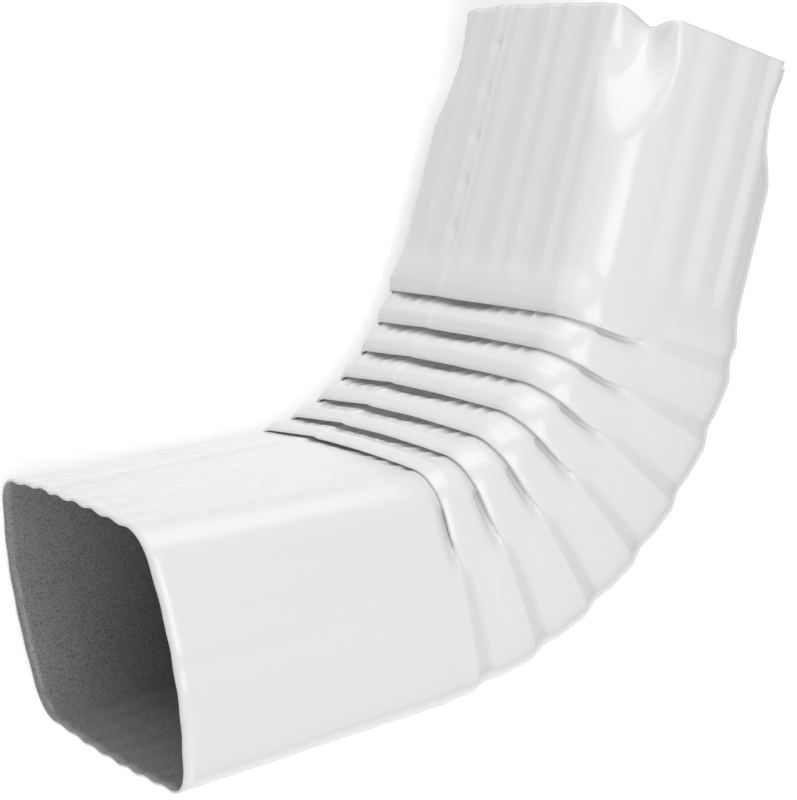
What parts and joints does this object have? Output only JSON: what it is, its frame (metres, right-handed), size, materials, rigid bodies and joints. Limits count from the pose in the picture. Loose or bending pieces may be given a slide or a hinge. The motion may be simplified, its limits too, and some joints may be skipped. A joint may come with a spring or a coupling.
{
  "type": "downspout elbow",
  "caption": "Bent rectangular sheet-metal tube with pleats along its inner curve, a plain mouth and a crimped end, which turns a roof downspout away from or back to the wall.",
  "frame": {"origin": "middle of the bounding box in X and Y, on the narrow side that the elbow lies on", "axes": "+Z across the tube's width, from the side it lies on to the other; the plain leg runs along -X, and the crimped leg rises toward +X and +Y, so that the throat of the bend faces -X and +Y"},
  "size_m": [0.1844, 0.144, 0.0846],
  "materials": {
    "enamel": "gloss white enamel on thin aluminium sheet, grey wash coat inside"
  },
  "bodies": {
    "root": {"elbow": "enamel"}
  },
  "joints": []
}
